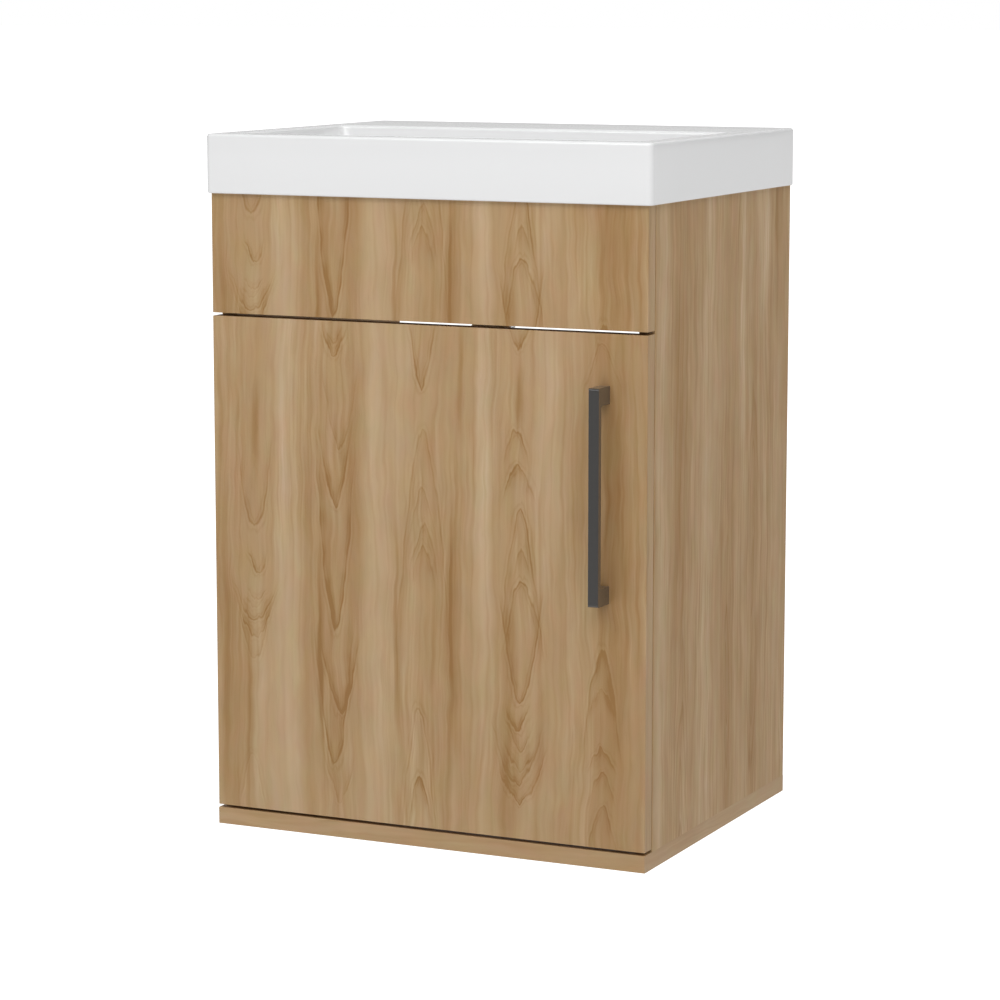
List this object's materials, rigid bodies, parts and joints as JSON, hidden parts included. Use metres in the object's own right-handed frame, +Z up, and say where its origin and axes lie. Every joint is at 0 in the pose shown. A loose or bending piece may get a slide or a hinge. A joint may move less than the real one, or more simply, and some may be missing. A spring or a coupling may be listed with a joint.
{
  "type": "wall-hung vanity unit",
  "caption": "Narrow wall-hung wash-basin cabinet in wood-grain board with a white block basin, a fixed front panel, one hinged door with a dark bar handle, a shelf and a basin waste.",
  "frame": {"origin": "on the wall plane, midway between the two wall holes in the hanging rail", "axes": "+X to the right seen from the front, +Y back into the wall, +Z up"},
  "size_m": [0.448, 0.379, 0.655],
  "materials": {
    "oak_board": "light wood-grain melamine board with matching edge band, satin",
    "basin_white": "gloss white glaze",
    "handle_metal": "anthracite powder coat, satin",
    "steel": "zinc or nickel plated steel",
    "waste_chrome": "polished chrome",
    "seal_rubber": "black rubber",
    "bracket_plastic": "moulded plastic, matte",
    "clear_plastic": "soft translucent bumper",
    "beech": "plain beech"
  },
  "bodies": {
    "cabinet": {"base_panel": "oak_board", "side_panel_left": "oak_board", "side_panel_right": "oak_board", "hanging_rail": "oak_board", "lower_rail": "oak_board", "fascia_panel": "oak_board", "fascia_bracket_left": "bracket_plastic", "fascia_bracket_right": "bracket_plastic", "bracket_screws": "steel", "shelf": "oak_board", "shelf_pins": "steel", "base_dowels": "beech", "base_screws": "steel", "cam_dowels": "steel", "cam_locks": "steel", "hinge_arm_upper": "steel", "hinge_arm_lower": "steel", "hinge_plate_upper": "steel", "hinge_plate_lower": "steel", "hinge_arm_pins": "steel", "plate_screws": "steel", "arm_screws": "steel", "basin": "basin_white", "waste_body": "waste_chrome", "waste_seal": "seal_rubber", "waste_nut": "waste_chrome"},
    "hinge_links": {"hinge_link_upper": "steel", "hinge_link_lower": "steel"},
    "door": {"door_panel": "oak_board", "handle": "handle_metal", "handle_screws": "steel", "door_bumpers": "clear_plastic", "hinge_cup_upper": "steel", "hinge_cup_lower": "steel", "hinge_cup_pins": "steel", "cup_screws": "steel"},
    "plug": {"waste_plug": "waste_chrome"}
  },
  "joints": [
    {"name": "hinge_link_turn", "type": "hinge", "parent": "cabinet", "child": "hinge_links", "pos_m": [-0.1925, -0.332, -0.3025], "axis": [0, 0, 1], "range_deg": [0, 38.1]},
    {"name": "door_swing", "type": "hinge", "parent": "hinge_links", "child": "door", "pos_m": [-0.21, -0.344, -0.3025], "axis": [0, 0, -1], "range_deg": [0, 133]},
    {"name": "plug_slide", "type": "slide", "parent": "cabinet", "child": "plug", "axis": [0, 0, 1], "range_m": [0, 0.008]}
  ],
  "couplings": [
    {"joint": "hinge_link_turn", "follows": "door_swing", "ratio": 0.28571}
  ]
}
